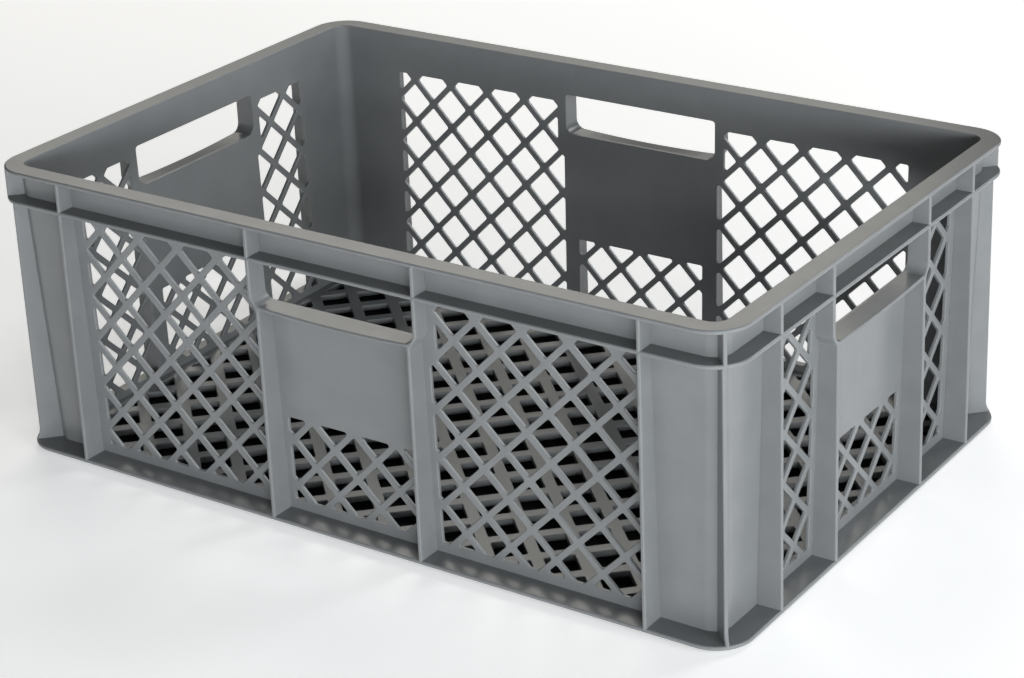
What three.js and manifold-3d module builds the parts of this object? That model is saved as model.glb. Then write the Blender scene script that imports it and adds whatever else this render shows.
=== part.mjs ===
// A rigid stacking crate, 600 x 400 x 220 mm, injection moulded in one shot of grey polypropylene.
// Each region of the moulding is a closed solid of its own, a fine seam apart from its neighbours:
// base grid, wall panels, corner walls, ribs, rim, flanges and hand-hold lips.
// The origin is at the middle of the footprint, on the ground, with X along the length and Z up.
import * as THREE from 'three';
import { mergeVertices } from 'three/addons/utils/BufferGeometryUtils.js';
import Module from 'manifold-3d';

const wasm = await Module();
wasm.setup();

// Driving dimensions, in millimetres.
const LENGTH = 600;
const WIDTH = 400;
const HEIGHT = 220;
const OUTER_RADIUS = 27;        // plan radius of the rim's and the flanges' corners
const SKIN = 2.8;               // wall thickness
const WALL_RADIUS = 13;         // plan radius of the walls' outer corners
const WALL_INSET = 12.2;        // from the rim's edge to the wall's outer face, at the top
const DRAFT = 0.027;            // how far the walls lean in for each millimetre down
const RIB = 3;                  // thickness of every rib
const PLATE = 3;                // thickness of the rim and of both flanges
const SEAM = 0.3;               // gap between neighbouring solids
const OVERSHOOT = 1;            // how far a cutting solid runs past what it cuts
const ARC_STEPS = 6;

// Levels above the ground.
const FOOT_TOP = 3;
const FLOOR_TOP = 8;
const BASE_FLANGE_TOP = FOOT_TOP + PLATE;
const RIM_BOTTOM = HEIGHT - PLATE;
const MID_FLANGE_TOP = 197.5;
const MID_FLANGE_BOTTOM = MID_FLANGE_TOP - PLATE;
const LIP_TOP = 163;
const LIP_BOTTOM = LIP_TOP - 2.6;
const LATTICE_BOTTOM = 13.1;
const LATTICE_TOP = 188.1;
const LOW_LATTICE_TOP = 76.6;   // under the plain panel below a hand-hold

// Ribs, measured from the middle of each wall.
const END_RIB = { long: 236, short: 136 };
const HANDLE_RIB = 68;          // beside the hand-hold
const HANDLE_RIB_LOW = 62.3;    // below the hand-hold's lip
const STEP_DROP = 6.5;          // height over which a rib steps sideways at the lip
const NOTCH = 6.5;              // how deep the mid flange is let into a rib
const CORNER_RIB_SETBACK = 3;   // below the mid flange
const CORNER_RIB_FLARE = 9;     // height of its flare above the base flange

// Lattices: square openings that stand on their corners, in bars at 45 degrees.
const WALL_PITCH = 25;
const WALL_OPENING = 20.4;
const WALL_FIRST_ROW = 24.5;
const FLOOR_PITCH = 30;
const FLOOR_OPENING = 21;
const FLOOR_MARGIN = 6;         // solid strip round the floor's lattice
const RIB_MARGIN = 6.5;         // from a rib's middle to the lattice beside it
const END_MARGIN = { long: 9.5, short: 8.5 };
const STRAY_CELL = 10;          // an opening centred further outside its window is left out

const FOOT_INSET = 19;
const FOOT_WIDTH = 6;
const FOOT_RADIUS = 10;

// Walls, anticlockwise seen from above. The front faces -Y.
const SIDES = [
  { name: 'front', kind: 'long', turn: 0, out: WIDTH / 2, end: LENGTH / 2 },
  { name: 'right', kind: 'short', turn: Math.PI / 2, out: LENGTH / 2, end: WIDTH / 2 },
  { name: 'back', kind: 'long', turn: Math.PI, out: WIDTH / 2, end: LENGTH / 2 },
  { name: 'left', kind: 'short', turn: 1.5 * Math.PI, out: LENGTH / 2, end: WIDTH / 2 },
];
const CORNERS = {
  front_left: [-1, -1], front_right: [1, -1], back_right: [1, 1], back_left: [-1, 1],
};

const crate = new THREE.Group();

// A closed geometry as a solid, ready for cutting and joining.
function solid(geometry) {
  geometry.deleteAttribute('normal');
  geometry.deleteAttribute('uv');
  const merged = mergeVertices(geometry);
  const vertProperties = Float32Array.from(merged.attributes.position.array);
  const triVerts = Uint32Array.from(merged.index.array);
  return new wasm.Manifold(new wasm.Mesh({ numProp: 3, vertProperties, triVerts }));
}

// Adds a solid to the crate as a named mesh.
function addPart(name, body) {
  const { vertProperties, triVerts } = body.getMesh();
  const geometry = new THREE.BufferGeometry();
  geometry.setAttribute('position', new THREE.BufferAttribute(vertProperties, 3));
  geometry.setIndex(new THREE.BufferAttribute(triVerts, 1));
  geometry.computeVertexNormals();
  const plastic = new THREE.MeshStandardMaterial({ color: 0x80868a, roughness: 0.45, metalness: 0 });
  const mesh = new THREE.Mesh(geometry, plastic);
  mesh.name = name;
  crate.add(mesh);
}

function block(low, high) {
  const size = high.map((value, axis) => value - low[axis]);
  const middle = high.map((value, axis) => (value + low[axis]) / 2);
  return solid(new THREE.BoxGeometry(...size).translate(...middle));
}

function polygon(points) {
  return new THREE.Shape(points.map(([x, y]) => new THREE.Vector2(x, y)));
}

function rectangle(left, right, low, high) {
  return polygon([[left, low], [right, low], [right, high], [left, high]]);
}

function roundedRectangle(length, width, radius) {
  const x = length / 2 - radius;
  const y = width / 2 - radius;
  const shape = new THREE.Shape();
  shape.absarc(x, y, radius, 0, Math.PI / 2);
  shape.absarc(-x, y, radius, Math.PI / 2, Math.PI);
  shape.absarc(-x, -y, radius, Math.PI, 1.5 * Math.PI);
  shape.absarc(x, -y, radius, 1.5 * Math.PI, 2 * Math.PI);
  return shape;
}

// Plan shapes raised from one level to another.
function raised(shapes, low, high) {
  const settings = { depth: high - low, bevelEnabled: false, curveSegments: ARC_STEPS };
  return new THREE.ExtrudeGeometry(shapes, settings).translate(0, 0, low);
}

// Shapes drawn on a wall, across and up, cut into it between two depths from the rim's edge.
function throughWall(shapes, side, from = 0, to = WIDTH / 4) {
  const geometry = raised(shapes, 0, to - from);
  geometry.rotateX(Math.PI / 2);
  geometry.translate(0, to - side.out, 0);
  geometry.rotateZ(side.turn);
  return solid(geometry);
}

// A block whose four sides lean as the walls do, with its inset given at the rim's level.
function leaningBlock(inset, radius, low, high) {
  const plan = roundedRectangle(LENGTH - 2 * inset, WIDTH - 2 * inset, radius);
  const geometry = raised(plan, low, high);
  const position = geometry.attributes.position;
  for (let i = 0; i < position.count; i += 1) {
    const shift = DRAFT * (HEIGHT - position.getZ(i));
    position.setX(i, position.getX(i) - Math.sign(position.getX(i)) * shift);
    position.setY(i, position.getY(i) - Math.sign(position.getY(i)) * shift);
  }
  return solid(geometry);
}

// The openings of a lattice, in every other place of a grid whose step is half a diagonal.
function latticeCells({ pitch, opening, firstRow, edge, low, high, parity }) {
  const step = pitch / Math.SQRT2;
  const reach = opening / Math.SQRT2;
  const lastColumn = Math.floor((edge + STRAY_CELL) / step);
  const firstIndex = Math.ceil((low - STRAY_CELL - firstRow) / step);
  const lastIndex = Math.floor((high + STRAY_CELL - firstRow) / step);
  const cells = [];
  for (let i = -lastColumn; i <= lastColumn; i += 1) {
    for (let j = firstIndex; j <= lastIndex; j += 1) {
      if (Math.abs(i + j) % 2 === parity) {
        const x = i * step;
        const y = firstRow + j * step;
        cells.push(polygon([[x - reach, y], [x, y - reach], [x + reach, y], [x, y + reach]]));
      }
    }
  }
  return cells;
}

// The walls' shape: its outside, its inside, and its outside with a seam round it.
const wallOutside = leaningBlock(WALL_INSET, WALL_RADIUS, 0, HEIGHT);
const wallInside = leaningBlock(WALL_INSET + SKIN, WALL_RADIUS - SKIN, -OVERSHOOT, HEIGHT + OVERSHOOT);
const wallAndSeam = leaningBlock(
  WALL_INSET - SEAM, WALL_RADIUS + SEAM, -OVERSHOOT, HEIGHT + OVERSHOOT);
const wallSkin = wallOutside.subtract(wallInside)
  .intersect(block([-LENGTH, -WIDTH, FOOT_TOP + SEAM], [LENGTH, WIDTH, RIM_BOTTOM - SEAM]));

// The perforated floor, with the foot that the crate stands on.
function addBaseGrid() {
  const inset = WALL_INSET + SKIN + SEAM;
  const plate = leaningBlock(inset, WALL_RADIUS - SKIN, FOOT_TOP, FLOOR_TOP);
  const margin = inset + DRAFT * HEIGHT + FLOOR_MARGIN;
  const edge = LENGTH / 2 - margin;
  const high = WIDTH / 2 - margin;
  const firstRow = FLOOR_PITCH / Math.SQRT2 / 2;
  const cells = latticeCells({
    pitch: FLOOR_PITCH, opening: FLOOR_OPENING, firstRow, edge, low: -high, high, parity: 1,
  });
  const openings = solid(raised(cells, 0, FLOOR_TOP + OVERSHOOT))
    .intersect(block([-edge, -high, 0], [edge, high, FLOOR_TOP + OVERSHOOT]));
  const footPlan = (extra) => roundedRectangle(
    LENGTH - 2 * (FOOT_INSET + extra), WIDTH - 2 * (FOOT_INSET + extra), FOOT_RADIUS - extra);
  const foot = solid(raised(footPlan(0), 0, FOOT_TOP))
    .subtract(solid(raised(footPlan(FOOT_WIDTH), -OVERSHOOT, FOOT_TOP)));
  addPart('base_grid', plate.subtract(openings).add(foot));
}

// One side's share of a ring round the crate: all that lies outside the corners' diagonals.
function sideShare(side) {
  const depth = WIDTH / 4;
  const past = side.out;
  const plan = polygon([
    [-side.end - past, -side.out - past], [side.end + past, -side.out - past],
    [side.end - depth, depth - side.out], [depth - side.end, depth - side.out],
  ]);
  return solid(raised(plan, 0, HEIGHT).rotateZ(side.turn));
}

// Upright slabs through the corners, along their diagonals.
function cornerSlabs(thickness) {
  const slabs = Object.values(CORNERS).map(([signX, signY]) => {
    const geometry = new THREE.BoxGeometry(WIDTH / 2, thickness, 2 * HEIGHT + OVERSHOOT);
    geometry.rotateZ(Math.atan2(signY, signX));
    return solid(geometry.translate(signX * LENGTH / 2, signY * WIDTH / 2, 0));
  });
  return slabs.reduce((all, slab) => all.add(slab));
}

function ribPlaces(side) {
  return [-END_RIB[side.kind], -HANDLE_RIB, HANDLE_RIB, END_RIB[side.kind]];
}

// A flat ring whose outline is the crate's, from one level to another.
function ring(low, high, inside) {
  return solid(raised(roundedRectangle(LENGTH, WIDTH, OUTER_RADIUS), low, high)).subtract(inside);
}

// The rim and the two flanges, in four sides each.
function addRings() {
  const mitres = cornerSlabs(SEAM);
  const ribSlots = cornerSlabs(RIB + 2 * SEAM);
  const rim = ring(RIM_BOTTOM, HEIGHT, wallInside).subtract(mitres);
  const midFlange = ring(MID_FLANGE_BOTTOM, MID_FLANGE_TOP, wallAndSeam).subtract(ribSlots);
  const baseFlange = ring(FOOT_TOP, BASE_FLANGE_TOP, wallAndSeam).subtract(mitres);
  const slot = RIB / 2 + SEAM;
  for (const side of SIDES) {
    const share = sideShare(side);
    const slots = ribPlaces(side).map((x) => rectangle(x - slot, x + slot, 0, HEIGHT));
    addPart(`rim_${side.name}`, rim.intersect(share));
    addPart(`mid_flange_${side.name}`,
      midFlange.intersect(share).subtract(throughWall(slots, side, NOTCH - SEAM / 2)));
    addPart(`base_flange_${side.name}`, baseFlange.intersect(share));
  }
}

// The window of the lattice on one side of a hand-hold. It steps with the rib beside it.
function sideWindow(side, sign) {
  const upper = HANDLE_RIB + RIB_MARGIN;
  const lower = HANDLE_RIB_LOW + RIB_MARGIN;
  const outer = END_RIB[side.kind] - END_MARGIN[side.kind];
  const points = [
    [lower, LATTICE_BOTTOM], [outer, LATTICE_BOTTOM], [outer, LATTICE_TOP], [upper, LATTICE_TOP],
    [upper, LIP_BOTTOM - STEP_DROP], [lower, LIP_BOTTOM - 2 * STEP_DROP],
  ];
  return throughWall(polygon(points.map(([x, z]) => [sign * x, z])), side);
}

// The openings of a wall's lattice that may fall between two levels.
function wallOpenings(side, edge, high) {
  const cells = latticeCells({
    pitch: WALL_PITCH, opening: WALL_OPENING, firstRow: WALL_FIRST_ROW, edge, low: LATTICE_BOTTOM,
    high, parity: 0,
  });
  return throughWall(cells, side);
}

// The two lattice panels of a wall, named as they are seen from outside.
function addLatticePanels(side) {
  const inner = HANDLE_RIB - RIB / 2;
  const outer = END_RIB[side.kind] - SEAM / 2;
  const openings = wallOpenings(side, END_RIB[side.kind] - END_MARGIN[side.kind], LATTICE_TOP);
  for (const [hand, sign] of [['left', -1], ['right', 1]]) {
    const [from, to] = [sign * inner, sign * outer].sort((a, b) => a - b);
    const frame = throughWall(rectangle(from, to, 0, MID_FLANGE_BOTTOM - SEAM / 2), side);
    const panel = wallSkin.intersect(frame).subtract(openings.intersect(sideWindow(side, sign)));
    addPart(`${side.name}_lattice_${hand}`, panel);
  }
}

// The plain panel below a hand-hold, with a strip of lattice at its foot.
function addHandlePanel(side) {
  const edge = HANDLE_RIB - RIB / 2 - SEAM;
  const windowEdge = HANDLE_RIB_LOW - RIB_MARGIN;
  const window = throughWall(
    rectangle(-windowEdge, windowEdge, LATTICE_BOTTOM, LOW_LATTICE_TOP), side);
  const openings = wallOpenings(side, windowEdge, LOW_LATTICE_TOP).intersect(window);
  const panel = wallSkin.intersect(throughWall(rectangle(-edge, edge, 0, LIP_TOP), side));
  addPart(`${side.name}_handle_panel`, panel.subtract(openings));
}

// The plain band of wall between the mid flange and the rim.
function addUpperBand(side) {
  const edge = END_RIB[side.kind] - SEAM / 2;
  const band = rectangle(-edge, edge, MID_FLANGE_BOTTOM + SEAM / 2, HEIGHT);
  addPart(`${side.name}_upper_band`, wallSkin.intersect(throughWall(band, side)));
}

// The sill of a hand-hold: a shelf as deep as the ribs, whose ends follow the ribs' step.
function addHandleLip(side) {
  const slope = (HANDLE_RIB - HANDLE_RIB_LOW) / STEP_DROP;
  const wide = HANDLE_RIB - RIB / 2 - SEAM * Math.hypot(1, slope);
  const narrow = wide - slope * (LIP_TOP - LIP_BOTTOM);
  const sill = polygon([[-wide, LIP_TOP], [-narrow, LIP_BOTTOM], [narrow, LIP_BOTTOM], [wide, LIP_TOP]]);
  addPart(`${side.name}_handle_lip`, throughWall(sill, side).subtract(wallAndSeam));
}

// The four ribs of a wall, numbered from the left as they are seen from outside.
function addRibs(side) {
  const low = BASE_FLANGE_TOP + SEAM;
  const high = RIM_BOTTOM - SEAM;
  const half = RIB / 2;
  ribPlaces(side).forEach((x, index) => {
    const foot = Math.abs(x) === HANDLE_RIB ? Math.sign(x) * HANDLE_RIB_LOW : x;
    const outline = polygon([
      [foot - half, low], [foot + half, low], [foot + half, LIP_TOP - STEP_DROP], [x + half, LIP_TOP],
      [x + half, high], [x - half, high], [x - half, LIP_TOP], [foot - half, LIP_TOP - STEP_DROP],
    ]);
    const slot = rectangle(x - RIB, x + RIB, MID_FLANGE_BOTTOM - SEAM, MID_FLANGE_TOP + SEAM);
    const rib = throughWall(outline, side)
      .subtract(wallAndSeam)
      .subtract(throughWall(slot, side, -OVERSHOOT, NOTCH + SEAM / 2));
    addPart(`${side.name}_rib_${index + 1}`, rib);
  });
}

// The wall that turns a corner, between the end ribs of two sides.
function addCornerWall(name, signX, signY) {
  const [lowX, highX] = [signX * (END_RIB.long + SEAM / 2), signX * LENGTH].sort((a, b) => a - b);
  const [lowY, highY] = [signY * (END_RIB.short + SEAM / 2), signY * WIDTH].sort((a, b) => a - b);
  const corner = block([lowX, lowY, 0], [highX, highY, HEIGHT]);
  addPart(`corner_wall_${name}`, wallSkin.intersect(corner));
}

// The rib on a corner's diagonal. It is set back from the flanges and flares out to the lower one.
function addCornerRib(name, signX, signY) {
  const low = BASE_FLANGE_TOP + SEAM;
  const high = RIM_BOTTOM - SEAM;
  const shoulder = MID_FLANGE_BOTTOM - SEAM;
  const edge = OUTER_RADIUS;
  const setBack = edge - CORNER_RIB_SETBACK;
  const outline = polygon([
    [0, low], [edge, low], [setBack, low + CORNER_RIB_FLARE], [setBack, shoulder], [edge, shoulder],
    [edge, high], [0, high],
  ]);
  const geometry = raised(outline, -RIB / 2, RIB / 2);
  geometry.rotateX(Math.PI / 2);
  geometry.rotateZ(Math.atan2(signY, signX));
  geometry.translate(signX * (LENGTH / 2 - OUTER_RADIUS), signY * (WIDTH / 2 - OUTER_RADIUS), 0);
  addPart(`corner_rib_${name}`, solid(geometry).subtract(wallAndSeam));
}

addBaseGrid();
addRings();
for (const side of SIDES) {
  addLatticePanels(side);
  addHandlePanel(side);
  addUpperBand(side);
  addHandleLip(side);
  addRibs(side);
}
for (const [name, [signX, signY]] of Object.entries(CORNERS)) {
  addCornerWall(name, signX, signY);
  addCornerRib(name, signX, signY);
}

export default crate;
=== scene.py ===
"""A grey perforated stacking crate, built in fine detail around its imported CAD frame.

The crate is one moulding, so its pieces meet flush: walls butt against corners and rim, and ribs and
flanges are let into the walls by the radius that rounds the walls' edges.
"""

import math

import bpy
import numpy as np
from mathutils import Matrix, Vector
from mathutils.geometry import delaunay_2d_cdt


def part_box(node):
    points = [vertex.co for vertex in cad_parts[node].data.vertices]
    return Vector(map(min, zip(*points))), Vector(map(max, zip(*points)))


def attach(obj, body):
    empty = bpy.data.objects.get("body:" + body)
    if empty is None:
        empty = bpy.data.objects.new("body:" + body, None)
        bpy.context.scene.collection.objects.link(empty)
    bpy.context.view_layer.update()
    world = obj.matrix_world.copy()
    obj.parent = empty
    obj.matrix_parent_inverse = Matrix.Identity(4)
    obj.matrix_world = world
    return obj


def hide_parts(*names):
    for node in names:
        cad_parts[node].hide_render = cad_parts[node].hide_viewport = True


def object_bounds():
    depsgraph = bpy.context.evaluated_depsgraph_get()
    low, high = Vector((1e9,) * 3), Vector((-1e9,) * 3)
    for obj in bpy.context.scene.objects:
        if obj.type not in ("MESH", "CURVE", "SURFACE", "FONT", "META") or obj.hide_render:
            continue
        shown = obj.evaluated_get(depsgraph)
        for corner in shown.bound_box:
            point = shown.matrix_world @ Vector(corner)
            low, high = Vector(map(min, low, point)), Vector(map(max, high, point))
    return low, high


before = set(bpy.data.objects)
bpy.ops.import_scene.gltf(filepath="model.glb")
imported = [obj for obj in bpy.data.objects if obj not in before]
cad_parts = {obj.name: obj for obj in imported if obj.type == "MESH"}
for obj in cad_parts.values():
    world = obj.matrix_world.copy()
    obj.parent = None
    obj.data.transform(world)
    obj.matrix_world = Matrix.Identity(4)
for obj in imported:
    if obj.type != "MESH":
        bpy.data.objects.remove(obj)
cad_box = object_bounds()

MM = 0.001

# Sizes and levels that the frame gives.
LENGTH = cad_box[1].x - cad_box[0].x
WIDTH = cad_box[1].y - cad_box[0].y
HEIGHT = cad_box[1].z
RIM_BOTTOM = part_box("rim_front")[0].z
MID_BOTTOM, MID_TOP = (corner.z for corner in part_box("mid_flange_front"))
BASE_BOTTOM, BASE_TOP = (corner.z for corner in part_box("base_flange_front"))
LIP_BOTTOM, LIP_TOP = (corner.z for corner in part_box("front_handle_lip"))
FLOOR_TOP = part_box("base_grid")[1].z
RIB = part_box("front_rib_4")[1].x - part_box("front_rib_4")[0].x
END_RIB = {
    "long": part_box("front_rib_4")[1].x - RIB / 2,
    "short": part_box("right_rib_4")[1].y - RIB / 2,
}
HANDLE_RIB_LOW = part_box("front_rib_3")[0].x + RIB / 2
HANDLE_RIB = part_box("front_rib_3")[1].x - RIB / 2
FOOT_INSET = cad_box[1].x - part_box("base_grid")[1].x

# Walls.
OUTER_RADIUS = 27 * MM
WALL_RADIUS = 13 * MM
WALL_INSET = 12.2 * MM
SKIN = 2.8 * MM
DRAFT = 0.027
EDGE = 0.7 * MM                 # rounds the edges of every opening
NOSE = 1.2 * MM                 # rounds the free edges of rim, flanges and ribs
RIB_FOOT = BASE_BOTTOM + NOSE   # ribs are let into the base flange and the rim
RIB_HEAD = RIM_BOTTOM + NOSE

# Lattices: square openings that stand on their corners.
WALL_PITCH = 25 * MM
WALL_OPENING = 20.4 * MM
WALL_FIRST_ROW = 24.5 * MM
LATTICE_BOTTOM = 13.1 * MM
LATTICE_TOP = 188.1 * MM
LOW_LATTICE_TOP = 76.6 * MM
OPENING_RADIUS = 1.5 * MM
RIB_MARGIN = 6.5 * MM           # wall left between a lattice and a handle rib
END_MARGIN = {"long": 9.5 * MM, "short": 8.5 * MM}
FLOOR_PITCH = 30 * MM
FLOOR_OPENING = 21 * MM
FLOOR_MARGIN = 27.2 * MM
FLOOR_RADIUS = 1.2 * MM
STRAY_CELL = 10 * MM            # a cell centred further than this outside its window is left out
SMALLEST_OPENING = 2.2 * MM
SHORTEST_SIDE = 0.4 * MM        # of an opening, before its corners are rounded
LARGEST_ROUND = 0.48            # how much of a side one corner's round may take up
FLAT_SIDE = 2.2 * MM            # sides longer than this are straight, and not part of a round

# Hand-holds.
HOLD_CORNER = 7.5 * MM
HOLD_TOP_CORNER = 2.5 * MM
BEND_LOW = 159.5 * MM           # where a handle rib starts and ends its sideways step
BEND_HIGH = 170 * MM
WINDOW_BEND_LOW = 146 * MM      # where the lattice beside it does
WINDOW_BEND_HIGH = 155 * MM
LIP_BOW = 1.6 * MM              # how far the lip's outer edge sags at the middle
LIP_FILLET = 1.5 * MM           # where the lip's underside meets the ribs
HOLD_FRAME_DEPTH = 10 * MM

# Corner ribs and foot.
CORNER_RIB_SETBACK = 3 * MM
CORNER_RIB_FLARE = 9 * MM
FLARE_POWER = 2.2
FOOT_WIDTH = 6 * MM
FOOT_RADIUS = 10 * MM

# Stage and light.
STAGE_REACH = 30
# level of the dark card under the crate, which is painted shade
SHADE_CARD_LEVEL = 0.6 * MM
FLOOR_GLOW = 0.37
LIGHT_DISTANCE = 3
GRAZING = 10                    # lights no higher than this, in degrees, make no highlights
WORLD_GLOW = 0.02
COOL = (0.95, 0.98, 1.0)
WARM = (1.0, 0.97, 0.90)

ROUND_STEPS = 3                 # faces in a quarter round along an edge
CORNER_STEPS = 12               # faces in a quarter turn round a corner of the walls
RIM_STEPS = 14                  # faces in a quarter turn of the rim and the flanges
HOLD_STEPS = 6                  # faces in a corner of a hand-hold
LIP_STEPS = 12                  # faces along a lip
BEND_STEPS = 8                  # faces along a handle rib's step and a corner rib's flare
SMOOTH_WITHIN = math.cos(math.radians(40))

SIDES = [
    ("front", "long", 0, WIDTH / 2),
    ("right", "short", math.pi / 2, LENGTH / 2),
    ("back", "long", math.pi, WIDTH / 2),
    ("left", "short", 1.5 * math.pi, LENGTH / 2),
]
CORNERS = {"front_left": (-1, -1), "front_right": (1, -1), "back_right": (1, 1), "back_left": (-1, 1)}


def wall_inset(z):
    """How far the walls' outer face lies inside the rim's edge at a level."""
    return WALL_INSET + DRAFT * (HEIGHT - z)


# ---------------------------------------------------------------- meshes

class Shape:
    """Vertices and faces being put together, with the faces that are truly flat marked."""

    def __init__(self):
        self.vertices = []
        self.faces = []
        self.flat = []

    def add_vertices(self, points):
        first = len(self.vertices)
        self.vertices.extend(tuple(point) for point in points)
        return list(range(first, len(self.vertices)))

    def add_face(self, corners, flat):
        self.faces.append(tuple(corners))
        self.flat.append(flat)

    def add_band(self, near, far, flat):
        """Quads between two closed loops of vertices, with a flat mark for each."""
        count = len(near)
        for i in range(count):
            j = (i + 1) % count
            self.add_face((near[i], far[i], far[j], near[j]), flat[i])


def corner_normals(mesh, flat):
    """A normal for each face corner: flat faces keep their own, and round ones run into it smoothly."""
    count = len(mesh.polygons)
    normals = np.empty(count * 3)
    mesh.polygons.foreach_get("normal", normals)
    normals = normals.reshape(-1, 3)
    faces_at = [[] for _ in mesh.vertices]
    for polygon in mesh.polygons:
        for vertex in polygon.vertices:
            faces_at[vertex].append(polygon.index)
    result = []
    for polygon in mesh.polygons:
        own = normals[polygon.index]
        for vertex in polygon.vertices:
            if flat[polygon.index]:
                result.append(tuple(own))
                continue
            near = [face for face in faces_at[vertex] if normals[face] @ own > SMOOTH_WITHIN]
            chosen = [face for face in near if flat[face]] or near
            total = normals[chosen].sum(0)
            result.append(tuple(total / np.linalg.norm(total)))
    return result


def make_piece(name, shape, material, replaced):
    """The shape as an object that rides on the crate and stands for the CAD nodes named."""
    mesh = bpy.data.meshes.new(name)
    mesh.from_pydata(shape.vertices, [], shape.faces)
    mesh.shade_smooth()
    mesh.normals_split_custom_set(corner_normals(mesh, shape.flat))
    mesh.materials.append(material)
    piece = bpy.data.objects.new(name, mesh)
    bpy.context.scene.collection.objects.link(piece)
    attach(piece, "root")
    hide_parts(*replaced)
    return piece


# ---------------------------------------------------------------- flat outlines

def arc(centre, radius, start, end, steps):
    """Points on an arc between two angles in degrees, both ends included."""
    angles = np.radians(np.linspace(start, end, steps + 1))
    return [(centre[0] + radius * math.cos(a), centre[1] + radius * math.sin(a)) for a in angles]


def rounded_corners(polygon, radius):
    """A convex polygon, anticlockwise, with its corners rounded as far as its sides allow."""
    points = [np.array(point) for point in polygon]
    count = len(points)
    result = []
    for i, corner in enumerate(points):
        back = points[i - 1] - corner
        ahead = points[(i + 1) % count] - corner
        room = LARGEST_ROUND * min(np.linalg.norm(back), np.linalg.norm(ahead))
        back /= np.linalg.norm(back)
        ahead /= np.linalg.norm(ahead)
        half = math.acos(max(-1, min(1, back @ ahead))) / 2
        reach = min(radius / math.tan(half), room)
        tight = reach * math.tan(half)
        middle = (back + ahead) / np.linalg.norm(back + ahead)
        centre = corner + middle * tight / math.sin(half)
        start = corner + back * reach - centre
        turn = math.pi - 2 * half
        for k in range(ROUND_STEPS + 1):
            a = turn * k / ROUND_STEPS
            x = start[0] * math.cos(a) - start[1] * math.sin(a)
            y = start[0] * math.sin(a) + start[1] * math.cos(a)
            result.append((centre[0] + x, centre[1] + y))
    return result


def clip(polygon, low, high):
    """The part of a convex polygon inside an upright rectangle."""
    for axis, limit, sign in ((0, low[0], 1), (1, low[1], 1), (0, high[0], -1), (1, high[1], -1)):
        kept = []
        for i, point in enumerate(polygon):
            previous = polygon[i - 1]
            inside = sign * (point[axis] - limit) >= 0
            was_inside = sign * (previous[axis] - limit) >= 0
            if inside != was_inside:
                share = (limit - previous[axis]) / (point[axis] - previous[axis])
                crossing = [previous[k] + share * (point[k] - previous[k]) for k in (0, 1)]
                crossing[axis] = limit
                kept.append(tuple(crossing))
            if inside:
                kept.append(point)
        polygon = kept
    return polygon


def without_short_sides(polygon, shortest):
    """The polygon less the points that lie closer than the shortest side to the one before."""
    kept = []
    for point in polygon:
        if not kept or math.dist(point, kept[-1]) > shortest:
            kept.append(point)
    if len(kept) > 1 and math.dist(kept[0], kept[-1]) <= shortest:
        kept.pop()
    return kept


def narrowest(polygon):
    """The smallest extent of a polygon, across or along the lattice's bars or the window's sides."""
    points = np.array(polygon)
    turns = ((1, 0), (0, 1), (math.sqrt(0.5), math.sqrt(0.5)), (math.sqrt(0.5), -math.sqrt(0.5)))
    return min(float(np.ptp(points @ np.array(turn))) for turn in turns)


def lattice(pitch, opening, radius, first_row, parity, window):
    """Rounded openings in every other place of a grid. window(x, y) gives the clipping rectangle."""
    step = pitch / math.sqrt(2)
    reach = opening / math.sqrt(2)
    limit = round(LENGTH / step)
    openings = []
    for i in range(-limit, limit + 1):
        for j in range(-limit, limit + 1):
            x, y = i * step, first_row + j * step
            low, high = window(x, y)
            stray = max(low[0] - x, x - high[0], low[1] - y, y - high[1])
            if (i + j) % 2 != parity or stray > STRAY_CELL:
                continue
            cell = clip([(x + reach, y), (x, y + reach), (x - reach, y), (x, y - reach)], low, high)
            cell = without_short_sides(cell, SHORTEST_SIDE)
            if len(cell) > 2 and narrowest(cell) > SMALLEST_OPENING:
                openings.append(rounded_corners(cell, radius))
    return openings


# ---------------------------------------------------------------- slabs and rings

def signed_area(contour):
    points = np.array(contour)
    ahead = np.roll(points, -1, 0)
    return float((points[:, 0] * ahead[:, 1] - points[:, 1] * ahead[:, 0]).sum() / 2)


def moved_inward(contour, distance):
    """A closed contour moved to its left, corners mitred."""
    points = np.array(contour)
    along = np.roll(points, -1, 0) - points
    along /= np.linalg.norm(along, axis=1, keepdims=True)
    left = np.stack([-along[:, 1], along[:, 0]], 1)
    before = np.roll(left, 1, 0)
    mitre = (left + before) / (1 + (left * before).sum(1, keepdims=True))
    return points + distance * mitre


def edge_profile(thickness, front, back):
    """Steps inward and down of a slab's edge, from its front face to its back face."""
    angles = [math.pi / 2 * k / ROUND_STEPS for k in range(ROUND_STEPS + 1)]
    profile = [(front * (1 - math.sin(a)), front * (1 - math.cos(a))) for a in angles]
    profile += [(back * (1 - math.cos(a)), thickness - back * (1 - math.sin(a))) for a in angles]
    if not front:
        profile = [(0, 0)] + profile[ROUND_STEPS + 1:]
    if not back:
        profile = profile[:-ROUND_STEPS - 1] + [(0, thickness)]
    return profile


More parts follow.
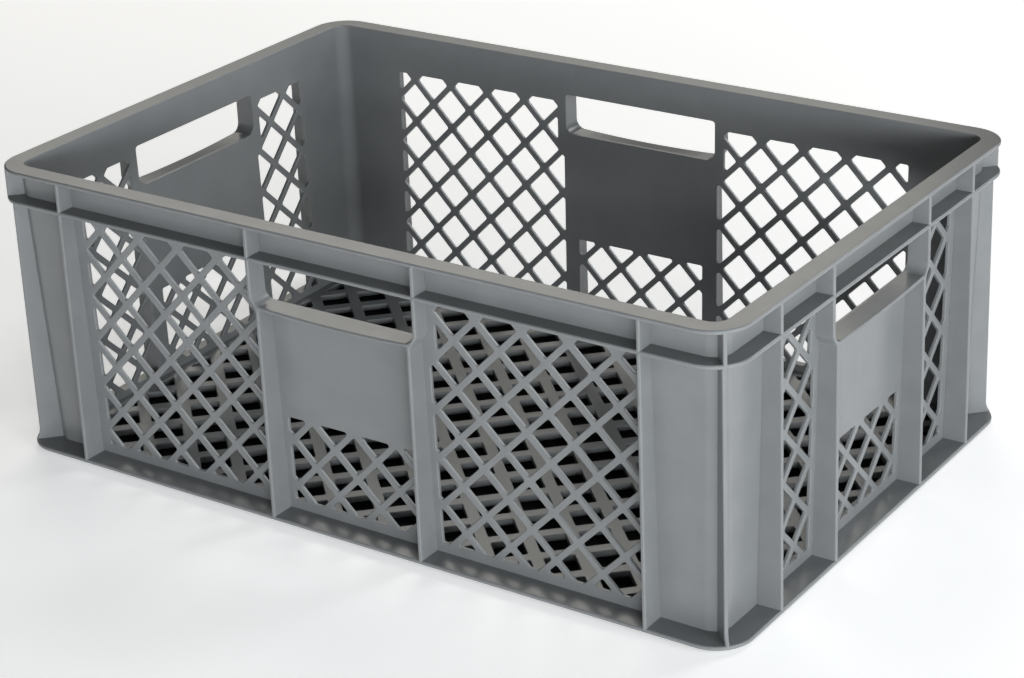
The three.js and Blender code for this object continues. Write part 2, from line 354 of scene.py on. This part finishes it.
def filled(loops):
    """Triangles that fill the first loop less the others, as indices into all their points."""
    points = [Vector(point) for loop in loops for point in loop]
    owner = [number for number, loop in enumerate(loops) for _ in loop]
    edges = []
    first = 0
    for loop in loops:
        count = len(loop)
        edges += [(first + i, first + (i + 1) % count) for i in range(count)]
        first += count
    found, _, triangles, sources, _, _ = delaunay_2d_cdt(points, edges, [], 0, 1e-9)
    source = [given[0] for given in sources]
    outline = np.array(loops[0])
    ahead = np.roll(outline, -1, 0)
    kept = []
    for triangle in triangles:
        corners = [source[k] for k in triangle]
        owners = {owner[k] for k in corners}
        if len(owners) == 1 and owners != {0}:
            continue
        if owners == {0}:
            x, y = sum((found[k] for k in triangle), Vector((0, 0))) / 3
            crosses = (outline[:, 1] > y) != (ahead[:, 1] > y)
            rise = np.where(crosses, ahead[:, 1] - outline[:, 1], 1)
            at = outline[:, 0] + (y - outline[:, 1]) / rise * (ahead[:, 0] - outline[:, 0])
            if (crosses & (x < at)).sum() % 2 == 0:
                continue
        kept.append(corners)
    return kept


def slab(outline, holes, thickness, front, back, place, round_outline=True):
    """A slab whose front and back edges are rounded by the radii given.

    place(across, deep, up) puts its points in the crate's frame.
    """
    shape = Shape()
    contours = [outline if signed_area(outline) > 0 else outline[::-1]]
    contours += [hole if signed_area(hole) < 0 else hole[::-1] for hole in holes]
    front_loops, front_ids, back_ids = [], [], []
    for number, contour in enumerate(contours):
        if number > 0 or round_outline:
            profile = edge_profile(thickness, front, back)
        else:
            profile = edge_profile(thickness, 0, 0)
        sides = np.linalg.norm(np.roll(contour, -1, 0) - np.array(contour), axis=1)
        long_side = sides > FLAT_SIDE
        loops = []
        for inward, deep in profile:
            flat_loop = moved_inward(contour, inward)
            loops.append(shape.add_vertices(place(x, deep, z) for x, z in flat_loop))
            if len(loops) == 1:
                front_loops.append([tuple(point) for point in flat_loop])
        for k in range(len(loops) - 1):
            upright = profile[k][0] == profile[k + 1][0]
            shape.add_band(loops[k], loops[k + 1], long_side & upright)
        front_ids += loops[0]
        back_ids += loops[-1]
    for triangle in filled(front_loops):
        shape.add_face([front_ids[k] for k in triangle], True)
        shape.add_face([back_ids[k] for k in reversed(triangle)], True)
    return shape


def rounded_rectangle(inset, radius):
    """A rounded rectangle that lies inside the rim's outline, anticlockwise."""
    x, y = LENGTH / 2 - inset - radius, WIDTH / 2 - inset - radius
    points = []
    for turn, (sign_x, sign_y) in enumerate(((1, 1), (-1, 1), (-1, -1), (1, -1))):
        points += arc((sign_x * x, sign_y * y), radius, 90 * turn, 90 * turn + 90, RIM_STEPS)
    return points


def ring(section):
    """A ring round the crate.

    Its section lists (inset, level, corner radius): up inside, over the top and down outside. A face no
    further from upright than the walls' draft counts as flat along the ring's straight sides.
    """
    shape = Shape()
    loops = []
    for inset, level, radius in section:
        plan = rounded_rectangle(inset, radius)
        loops.append(shape.add_vertices((x, y, level) for x, y in plan))
    sides = np.linalg.norm(np.roll(plan, -1, 0) - np.array(plan), axis=1)
    long_side = sides > OUTER_RADIUS
    for k in range(len(loops)):
        following = (k + 1) % len(loops)
        rise = abs(section[k][1] - section[following][1])
        run = abs(section[k][0] - section[following][0])
        level_face = rise < 1e-9
        upright = run < DRAFT * rise * 1.5
        shape.add_band(loops[k], loops[following], level_face | (long_side & upright))
    return shape


# ---------------------------------------------------------------- the plastic

def moulded_plastic():
    """Satin polypropylene: faint mottling, a slightly wavy surface and a finish that varies a little."""
    material = bpy.data.materials.new("moulded_grey_plastic")
    material.use_nodes = True
    nodes, links = material.node_tree.nodes, material.node_tree.links
    shader = nodes["Principled BSDF"]
    shader.inputs["Specular IOR Level"].default_value = 0.5
    shader.inputs["IOR"].default_value = 1.49
    place = nodes.new("ShaderNodeTexCoord")

    def noise(scale, detail, roughness=0.5):
        node = nodes.new("ShaderNodeTexNoise")
        node.inputs["Scale"].default_value = scale
        node.inputs["Detail"].default_value = detail
        node.inputs["Roughness"].default_value = roughness
        links.new(place.outputs["Object"], node.inputs["Vector"])
        return node.outputs["Fac"]

    mottling = nodes.new("ShaderNodeValToRGB")
    dark, pale = mottling.color_ramp.elements
    dark.position = 0.32
    dark.color = (0.134, 0.140, 0.143, 1)
    pale.position = 0.7
    pale.color = (0.151, 0.157, 0.160, 1)
    links.new(noise(38, 5, 0.6), mottling.inputs["Fac"])
    links.new(mottling.outputs["Color"], shader.inputs["Base Color"])

    finish = nodes.new("ShaderNodeMapRange")
    finish.inputs["From Min"].default_value = 0.3
    finish.inputs["From Max"].default_value = 0.72
    finish.inputs["To Min"].default_value = 0.28
    finish.inputs["To Max"].default_value = 0.33
    links.new(noise(60, 6, 0.65), finish.inputs["Value"])
    links.new(finish.outputs["Result"], shader.inputs["Roughness"])

    waviness = nodes.new("ShaderNodeBump")
    waviness.inputs["Strength"].default_value = 0.05
    waviness.inputs["Distance"].default_value = 1 * MM
    links.new(noise(45, 0), waviness.inputs["Height"])
    links.new(waviness.outputs["Normal"], shader.inputs["Normal"])
    return material


# ---------------------------------------------------------------- the crate's pieces

def on_wall(turn, out):
    """Places points given across, deep and up on a side, deep being measured from the rim's edge."""
    cosine, sine = math.cos(turn), math.sin(turn)

    def place(across, deep, up):
        y = deep - out
        return (across * cosine - y * sine, across * sine + y * cosine, up)
    return place


def lattice_windows(kind):
    """The window that holds a lattice cell, for a cell centred at x, z."""
    outer = END_RIB[kind] - END_MARGIN[kind]
    low_edge = HANDLE_RIB_LOW - RIB_MARGIN

    def window(x, z):
        if abs(x) < HANDLE_RIB_LOW:
            return (-low_edge, LATTICE_BOTTOM), (low_edge, LOW_LATTICE_TOP)
        share = max(0, min(1, (z - WINDOW_BEND_LOW) / (WINDOW_BEND_HIGH - WINDOW_BEND_LOW)))
        inner = HANDLE_RIB_LOW + RIB_MARGIN + share * (HANDLE_RIB - HANDLE_RIB_LOW)
        if x > 0:
            return (inner, LATTICE_BOTTOM), (outer, LATTICE_TOP)
        return (-outer, LATTICE_BOTTOM), (-inner, LATTICE_TOP)
    return window


def hand_hold():
    """The outline of the opening above a lip."""
    edge = HANDLE_RIB - RIB / 2
    points = []
    for (x, z, radius, start) in (
        (edge, LIP_TOP, HOLD_CORNER, 270), (edge, MID_BOTTOM, HOLD_TOP_CORNER, 0),
        (-edge, MID_BOTTOM, HOLD_TOP_CORNER, 90), (-edge, LIP_TOP, HOLD_CORNER, 180),
    ):
        centre = (x - math.copysign(radius, x), z + radius if z == LIP_TOP else z - radius)
        points += arc(centre, radius, start, start + 90, HOLD_STEPS)
    return points


def build_wall(side, kind, turn, out, material):
    """A wall between its end ribs, with its lattices and its hand-hold."""
    end = END_RIB[kind]
    put = on_wall(turn, out)

    def place(across, deep, up):
        return put(across, wall_inset(up) + deep, up)

    outline = [(-end, BASE_BOTTOM), (end, BASE_BOTTOM), (end, RIM_BOTTOM), (-end, RIM_BOTTOM)]
    openings = lattice(WALL_PITCH, WALL_OPENING, OPENING_RADIUS, WALL_FIRST_ROW, 0, lattice_windows(kind))
    shape = slab(outline, openings + [hand_hold()], SKIN, EDGE, EDGE, place, round_outline=False)
    replaced = [f"{side}_{part}" for part in ("lattice_left", "lattice_right", "handle_panel", "upper_band")]
    return make_piece(f"{side}_wall", shape, material, replaced)


def build_corner_wall(name, sign_x, sign_y, material):
    """The wall that turns a corner between two end ribs."""
    def plan(inward, z):
        """The wall's outer line at a level, moved inward."""
        inset = wall_inset(z) + inward
        radius = WALL_RADIUS - inward
        centre = (LENGTH / 2 - inset - radius, WIDTH / 2 - inset - radius)
        points = [(LENGTH / 2 - inset, END_RIB["short"])]
        points += arc(centre, radius, 0, 90, CORNER_STEPS)
        points.append((END_RIB["long"], WIDTH / 2 - inset))
        return [(sign_x * x, sign_y * y, z) for x, y in points]

    shape = Shape()
    outer = [shape.add_vertices(plan(0, z)) for z in (BASE_BOTTOM, RIM_BOTTOM)]
    inner = [shape.add_vertices(plan(SKIN, z)) for z in (BASE_BOTTOM, RIM_BOTTOM)]
    loops = [outer[0], outer[1], inner[1], inner[0]]
    last = len(outer[0]) - 1
    mirrored = sign_x * sign_y < 0
    for k in range(4):
        near, far = loops[k], loops[(k + 1) % 4]
        for i in range(last):
            quad = (near[i], near[i + 1], far[i + 1], far[i])
            shape.add_face(quad[::-1] if mirrored else quad, i in (0, last - 1) or k in (1, 3))
    start, finish = [loop[0] for loop in loops], [loop[last] for loop in loops]
    shape.add_face(start[::-1] if mirrored else start, True)
    shape.add_face(finish if mirrored else finish[::-1], True)
    return make_piece(f"{name}_corner_wall", shape, material, [f"corner_wall_{name}"])


def build_end_rib(side, number, kind, turn, out, material):
    """One of the straight ribs at the ends of a wall."""
    across = END_RIB[kind] * (-1 if number == 1 else 1)
    put = on_wall(turn, out)
    foot, head = wall_inset(RIB_FOOT) + EDGE, wall_inset(RIB_HEAD) + EDGE
    outline = [(0, RIB_FOOT), (foot, RIB_FOOT), (head, RIB_HEAD), (0, RIB_HEAD)]

    def place(deep, thick, up):
        return put(across + RIB / 2 - thick, deep, up)

    shape = slab(outline, [], RIB, NOSE, NOSE, place)
    return make_piece(f"{side}_end_rib_{number}", shape, material, [f"{side}_rib_{number}"])


def rib_middle(z):
    """Where a handle rib's middle lies at a level: it steps sideways at the lip."""
    share = max(0, min(1, (z - BEND_LOW) / (BEND_HIGH - BEND_LOW)))
    return HANDLE_RIB_LOW + (HANDLE_RIB - HANDLE_RIB_LOW) * share * share * (3 - 2 * share)


def rib_side(offset, levels):
    """Points along one side of a handle rib, offset from its middle line."""
    points = []
    nudge = 0.1 * MM
    for z in levels:
        slope = (rib_middle(z + nudge) - rib_middle(z - nudge)) / (2 * nudge)
        length = math.hypot(1, slope)
        points.append((rib_middle(z) + offset / length, z - offset * slope / length))
    return points


def hold_frame_outline():
    """The two handle ribs and the lip between them, as one outline seen from outside."""
    half = RIB / 2
    bend = list(np.linspace(BEND_LOW, BEND_HIGH, BEND_STEPS + 1))
    below = HANDLE_RIB_LOW - half
    above = HANDLE_RIB - half
    lip_end = above - HOLD_CORNER
    under_end = below - LIP_FILLET
    right = [(below, RIB_FOOT)] + rib_side(half, [RIB_FOOT] + bend + [RIB_HEAD]) + [(above, RIB_HEAD)]
    right += arc((lip_end, LIP_TOP + HOLD_CORNER), HOLD_CORNER, 0, -90, HOLD_STEPS)
    lip_top = [(x, LIP_TOP) for x in np.linspace(lip_end, -lip_end, LIP_STEPS + 1)[1:-1]]
    under = [(x, LIP_BOTTOM) for x in np.linspace(-under_end, under_end, LIP_STEPS + 1)[1:-1]]
    under_right = arc((under_end, LIP_BOTTOM - LIP_FILLET), LIP_FILLET, 90, 0, ROUND_STEPS)
    left = [(-x, z) for x, z in reversed(right)]
    under_left = [(-x, z) for x, z in reversed(under_right)]
    return right + lip_top + left + under_left + under + under_right


def build_hold_frame(side, turn, out, material):
    """The ribs beside a hand-hold with the lip that joins them. The lip's outer edge sags a little."""
    put = on_wall(turn, out)
    span = HANDLE_RIB_LOW - RIB

    def place(across, deep, up):
        embedded = deep > HOLD_FRAME_DEPTH / 2
        if embedded:
            deep = wall_inset(up) + EDGE
        on_lip = LIP_BOTTOM - NOSE < up < LIP_TOP + NOSE and abs(across) < span
        if on_lip and not embedded:
            up -= LIP_BOW * (1 - (across / span) ** 2)
        return put(across, deep, up)

    shape = slab(hold_frame_outline(), [], HOLD_FRAME_DEPTH, NOSE, 0, place)
    replaced = [f"{side}_rib_2", f"{side}_rib_3", f"{side}_handle_lip"]
    return make_piece(f"{side}_hold_frame", shape, material, replaced)


def build_corner_rib(name, sign_x, sign_y, material):
    """The rib on a corner's diagonal: flush with the flanges above, set back and flared below."""
    def wall_face(z):
        """The rib's inner end at a level, just inside the wall."""
        return WALL_RADIUS + (OUTER_RADIUS - WALL_RADIUS - wall_inset(z)) * math.sqrt(2) - 1.5 * EDGE

    flare = []
    for share in np.linspace(0, 1, BEND_STEPS + 1):
        reach = OUTER_RADIUS - CORNER_RIB_SETBACK * (1 - (1 - share) ** FLARE_POWER)
        flare.append((reach, BASE_TOP + share * CORNER_RIB_FLARE))
    middle = (MID_BOTTOM + MID_TOP) / 2
    outline = [(wall_face(RIB_FOOT), RIB_FOOT), (OUTER_RADIUS, RIB_FOOT)] + flare
    outline += [(OUTER_RADIUS - CORNER_RIB_SETBACK, middle), (OUTER_RADIUS, middle)]
    outline += [(OUTER_RADIUS, RIB_HEAD), (wall_face(RIB_HEAD), RIB_HEAD)]
    centre = Vector((sign_x * (LENGTH / 2 - OUTER_RADIUS), sign_y * (WIDTH / 2 - OUTER_RADIUS)))
    along = Vector((sign_x, sign_y)).normalized()
    beside = Vector((-along.y, along.x))

    def place(reach, thick, up):
        point = centre + along * reach + beside * (thick - RIB / 2)
        return (point.x, point.y, up)

    shape = slab(outline, [], RIB, NOSE, NOSE, place)
    return make_piece(f"{name}_corner_rib", shape, material, [f"corner_rib_{name}"])


def round_nose(level, up):
    """The quarter round of a ring's free edge, from its flat face at a level to its upright edge."""
    points = []
    for k in range(ROUND_STEPS + 1):
        a = math.pi / 2 * k / ROUND_STEPS
        inset = NOSE * (1 - math.sin(a))
        points.append((inset, level - up * NOSE * (1 - math.cos(a)), OUTER_RADIUS - inset))
    return points


def side_nodes(prefix):
    """The names of the four CAD nodes that share a prefix, one on each side."""
    return [f"{prefix}_{side[0]}" for side in SIDES]


def build_flange(name, low, high, material):
    """A flat ring round the walls, let into them."""
    def root(level):
        """The ring's inner edge at a level, just inside the wall's face."""
        inset = wall_inset(level) + EDGE
        return (inset, level, OUTER_RADIUS - inset)

    section = [root(high)] + round_nose(high, 1) + round_nose(low, -1)[::-1] + [root(low)]
    return make_piece(name, ring(section), material, side_nodes(name))


def build_rim(material):
    """The rim: flat on top, with round edges, and flush with the walls inside."""
    inner = WALL_INSET + SKIN
    radius = WALL_RADIUS - SKIN
    section = [(inner + DRAFT * (HEIGHT - RIM_BOTTOM), RIM_BOTTOM, radius)]
    for k in range(ROUND_STEPS + 1):
        a = math.pi / 2 * k / ROUND_STEPS
        inward = EDGE * (1 - math.cos(a))
        section.append((inner - inward, HEIGHT - EDGE * (1 - math.sin(a)), radius + inward))
    section += round_nose(HEIGHT, 1) + round_nose(RIM_BOTTOM, -1)[::-1]
    root = wall_inset(RIM_BOTTOM) + EDGE
    section.append((root, RIM_BOTTOM, OUTER_RADIUS - root))
    return make_piece("rim", ring(section), material, side_nodes("rim"))


def build_floor(material):
    """The lattice floor."""
    def window(x, y):
        return ((FLOOR_MARGIN - LENGTH / 2, FLOOR_MARGIN - WIDTH / 2),
                (LENGTH / 2 - FLOOR_MARGIN, WIDTH / 2 - FLOOR_MARGIN))

    def place(x, deep, y):
        return (x, y, FLOOR_TOP - deep)

    step = FLOOR_PITCH / math.sqrt(2)
    openings = lattice(FLOOR_PITCH, FLOOR_OPENING, FLOOR_RADIUS, step / 2, 1, window)
    inset = wall_inset(FLOOR_TOP) + SKIN / 2
    outline = rounded_rectangle(inset, WALL_RADIUS - SKIN / 2)
    thickness = FLOOR_TOP - BASE_BOTTOM
    shape = slab(outline, openings, thickness, EDGE, EDGE, place, round_outline=False)
    return make_piece("lattice_floor", shape, material, ["base_grid"])


def build_foot(material):
    """The ring under the floor that the crate stands on."""
    inner = FOOT_INSET + FOOT_WIDTH
    section = [
        (inner, BASE_BOTTOM, FOOT_RADIUS - FOOT_WIDTH), (FOOT_INSET, BASE_BOTTOM, FOOT_RADIUS),
        (FOOT_INSET, EDGE, FOOT_RADIUS), (FOOT_INSET + EDGE, 0, FOOT_RADIUS - EDGE),
        (inner - EDGE, 0, FOOT_RADIUS - FOOT_WIDTH + EDGE), (inner, EDGE, FOOT_RADIUS - FOOT_WIDTH),
    ]
    return make_piece("foot_ring", ring(section), material, ["base_grid"])


# ---------------------------------------------------------------- stage, light and camera

def matte(name, colour, glow):
    """A dull surface that gives off some white light of its own."""
    material = bpy.data.materials.new(name)
    material.use_nodes = True
    shader = material.node_tree.nodes["Principled BSDF"]
    shader.inputs["Base Color"].default_value = (*colour, 1)
    shader.inputs["Roughness"].default_value = 0.9
    shader.inputs["Specular IOR Level"].default_value = 0.1
    shader.inputs["Emission Color"].default_value = (1, 1, 1, 1)
    shader.inputs["Emission Strength"].default_value = glow
    return material


def add_sheet(name, reach, level, material):
    """A flat rectangular sheet that the crate stands on, which isn't part of it."""
    x, y = reach
    corners = [(-x, -y, level), (x, -y, level), (x, y, level), (-x, y, level)]
    mesh = bpy.data.meshes.new(name)
    mesh.from_pydata(corners, [], [(0, 1, 2, 3)])
    mesh.materials.append(material)
    sheet = bpy.data.objects.new(name, mesh)
    bpy.context.scene.collection.objects.link(sheet)


def build_stage():
    """A glowing pale floor, and a dark card inside the foot ring that is painted shade: it stands for the
    shaded floor under the crate, seen through the crate's openings.
    """
    pale = matte("pale_floor", (0.92, 0.92, 0.92), FLOOR_GLOW)
    # painted shade: a near-black matte that stands for the floor in the crate's shadow
    dark = matte("painted_shade_matte", (0.012, 0.012, 0.012), 0)
    add_sheet("stage_floor", (STAGE_REACH, STAGE_REACH), 0, pale)
    inset = FOOT_INSET + FOOT_WIDTH - 1 * MM
    # the card of painted shade lies just above the floor, inside the foot ring
    add_sheet("painted_shade_card", (LENGTH / 2 - inset, WIDTH / 2 - inset), SHADE_CARD_LEVEL, dark)


def add_softbox(name, azimuth, elevation, size, power, colour):
    """A soft light aimed at the crate. Azimuth 0 lies in front and 90 to the right."""
    a, e = math.radians(azimuth), math.radians(elevation)
    outward = Vector((math.sin(a) * math.cos(e), -math.cos(a) * math.cos(e), math.sin(e)))
    data = bpy.data.lights.new(name, "AREA")
    data.shape = "RECTANGLE"
    data.size, data.size_y = size
    data.energy = power
    data.color = colour
    light = bpy.data.objects.new(name, data)
    light.location = Vector((0, 0, HEIGHT / 2)) + outward * LIGHT_DISTANCE
    light.rotation_euler = outward.to_track_quat("Z", "Y").to_euler()
    light.visible_glossy = elevation > GRAZING
    bpy.context.scene.collection.objects.link(light)


def build_light():
    """Cool lights from the front and right, mostly low, and two high ones behind for the level faces."""
    world = bpy.data.worlds.new("studio")
    world.use_nodes = True
    background = world.node_tree.nodes["Background"]
    background.inputs["Color"].default_value = (1, 1, 1, 1)
    background.inputs["Strength"].default_value = WORLD_GLOW
    bpy.context.scene.world = world
    add_softbox("low_front", 38, 5, (1.3, 0.5), 81, COOL)
    add_softbox("high_front", 40, 38, (0.5, 0.5), 5, COOL)
    add_softbox("low_right", 66, 5, (1.4, 0.5), 46, COOL)
    add_softbox("high_right", 84, 20, (1.4, 0.7), 28, COOL)
    add_softbox("rear_left", 218, 38, (2.0, 2.0), 32, WARM)
    add_softbox("rear_right", 155, 33, (1.0, 1.0), 24, COOL)
    bpy.context.scene.view_settings.view_transform = "Standard"


def build_camera():
    """The photograph's view, with a small shift for its framing."""
    azimuth, elevation, roll = (math.radians(angle) for angle in (34.0, 22.25, -1.97))
    place = Matrix.Translation((0.986, -1.391, 0.840))
    forward = Vector((
        -math.sin(azimuth) * math.cos(elevation), math.cos(azimuth) * math.cos(elevation),
        -math.sin(elevation),
    ))
    level = Vector((math.cos(azimuth), math.sin(azimuth), 0))
    upward = level.cross(forward)
    right = level * math.cos(roll) + upward * math.sin(roll)
    up = right.cross(forward)
    data = bpy.data.cameras.new("camera")
    data.sensor_width = 36
    data.lens = 90.75
    data.shift_x = -0.047
    data.shift_y = -0.087
    camera = bpy.data.objects.new("camera", data)
    camera.matrix_world = place @ Matrix((right, up, -forward)).transposed().to_4x4()
    bpy.context.scene.collection.objects.link(camera)
    bpy.context.scene.camera = camera


build_camera()
plastic = moulded_plastic()
for side, kind, turn, out in SIDES:
    build_wall(side, kind, turn, out, plastic)
    build_end_rib(side, 1, kind, turn, out, plastic)
    build_end_rib(side, 4, kind, turn, out, plastic)
    build_hold_frame(side, turn, out, plastic)
for name, (sign_x, sign_y) in CORNERS.items():
    build_corner_wall(name, sign_x, sign_y, plastic)
    build_corner_rib(name, sign_x, sign_y, plastic)
build_rim(plastic)
build_flange("mid_flange", MID_BOTTOM, MID_TOP, plastic)
build_flange("base_flange", BASE_BOTTOM, BASE_TOP, plastic)
build_floor(plastic)
build_foot(plastic)
build_stage()
build_light()
